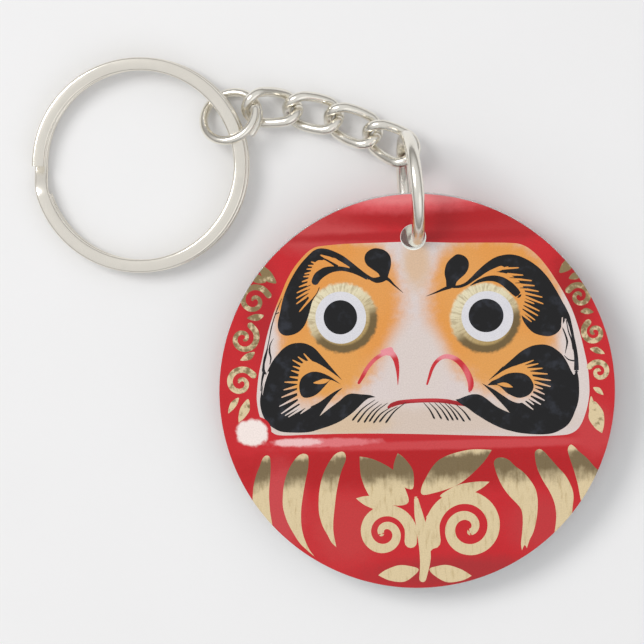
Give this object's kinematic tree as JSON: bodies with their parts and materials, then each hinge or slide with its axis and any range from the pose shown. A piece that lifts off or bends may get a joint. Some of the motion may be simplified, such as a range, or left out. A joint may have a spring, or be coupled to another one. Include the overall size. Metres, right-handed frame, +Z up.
{
  "type": "key chain with round tag",
  "caption": "Round clear plastic tag with printed faces on a twisted-link chain with a wire ring, a jump ring and a split key ring.",
  "frame": {"origin": "on the table, under the centre of the object's box as it lies", "axes": "+Z up from the table; +X along the longest side of the box; +Y from the tag's middle towards its hole"},
  "size_m": [0.0742, 0.0694, 0.0149],
  "materials": {
    "clear_acrylic": "clear cast acrylic with a polished cut edge",
    "front_print": "glossy printed film, mostly red",
    "back_print": "glossy printed film, mostly red",
    "nickel_plate": "bright nickel plating on steel wire and strip"
  },
  "bodies": {
    "tag": {"acrylic_disc": "clear_acrylic", "front_print": "front_print", "back_print": "back_print"},
    "tag_ring": {"tag_ring": "nickel_plate"},
    "chain_link_1": {"chain_link_1": "nickel_plate"},
    "chain_link_2": {"chain_link_2": "nickel_plate"},
    "chain_link_3": {"chain_link_3": "nickel_plate"},
    "chain_link_4": {"chain_link_4": "nickel_plate"},
    "jump_ring": {"jump_ring": "nickel_plate"},
    "split_ring": {"split_ring": "nickel_plate"}
  },
  "joints": [
    {"name": "ring_turn", "type": "hinge", "parent": "tag", "child": "tag_ring", "pos_m": [0.0116, 0.01666, 0.00746], "axis": [0.9915, 0.0693, -0.1097], "range_deg": [-65, 60]},
    {"name": "link_4_swing", "type": "hinge", "parent": "tag_ring", "child": "chain_link_4", "pos_m": [0.01078, 0.02185, 0.00339], "axis": [0.0432, 0.6207, 0.7829], "range_deg": [-150, 10]},
    {"name": "link_3_bend", "type": "hinge", "parent": "chain_link_4", "child": "chain_link_3", "pos_m": [0.00682, 0.02393, 0.00251], "axis": [0, 0, 1], "range_deg": [-15, 10]},
    {"name": "link_2_bend", "type": "hinge", "parent": "chain_link_3", "child": "chain_link_2", "pos_m": [0.00189, 0.02603, 0.00183], "axis": [0, 0, 1], "range_deg": [-35, 12]},
    {"name": "link_1_bend", "type": "hinge", "parent": "chain_link_2", "child": "chain_link_1", "pos_m": [-0.00328, 0.02734, 0.00194], "axis": [0, 0, 1], "range_deg": [-35, 12]},
    {"name": "jump_ring_flip", "type": "hinge", "parent": "chain_link_1", "child": "jump_ring", "pos_m": [-0.00928, 0.02792, 0.00292], "axis": [0.1736, 0.758, 0.6287], "range_deg": [-90, 5]},
    {"name": "split_ring_turn", "type": "hinge", "parent": "jump_ring", "child": "split_ring", "pos_m": [-0.02322, 0.02076, 0.00198], "axis": [-0.0488, -0.0243, 0.9985], "continuous": true}
  ]
}
